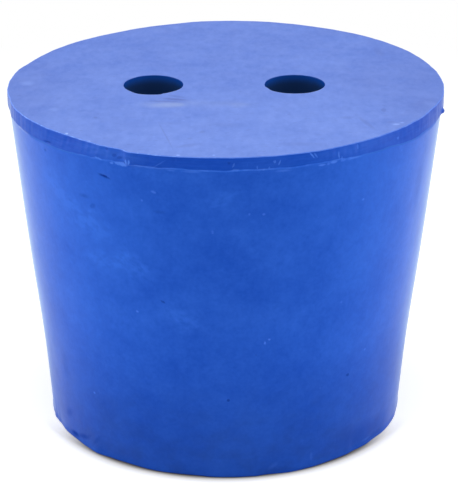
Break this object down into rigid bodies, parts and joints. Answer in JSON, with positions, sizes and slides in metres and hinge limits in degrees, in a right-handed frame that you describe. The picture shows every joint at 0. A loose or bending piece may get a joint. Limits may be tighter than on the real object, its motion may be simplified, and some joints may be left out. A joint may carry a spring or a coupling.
{
  "type": "rubber stopper",
  "caption": "Tapered solid rubber stopper with parallel through-holes for glass tubing, pushed into a flask or tube neck to close it.",
  "frame": {"origin": "centre of the foot, the flat narrow end that the stopper stands on", "axes": "+Z along the body's axis from the narrow end to the wide end, and +X along the row of the two holes, so -Y faces the viewer with one hole on each side"},
  "size_m": [0.037, 0.037, 0.0296],
  "materials": {
    "blue_rubber": "matt moulded natural rubber, with a fine bloom on the flat top face and a trimmed band"
  },
  "bodies": {
    "root": {"stopper": "blue_rubber"}
  },
  "joints": []
}
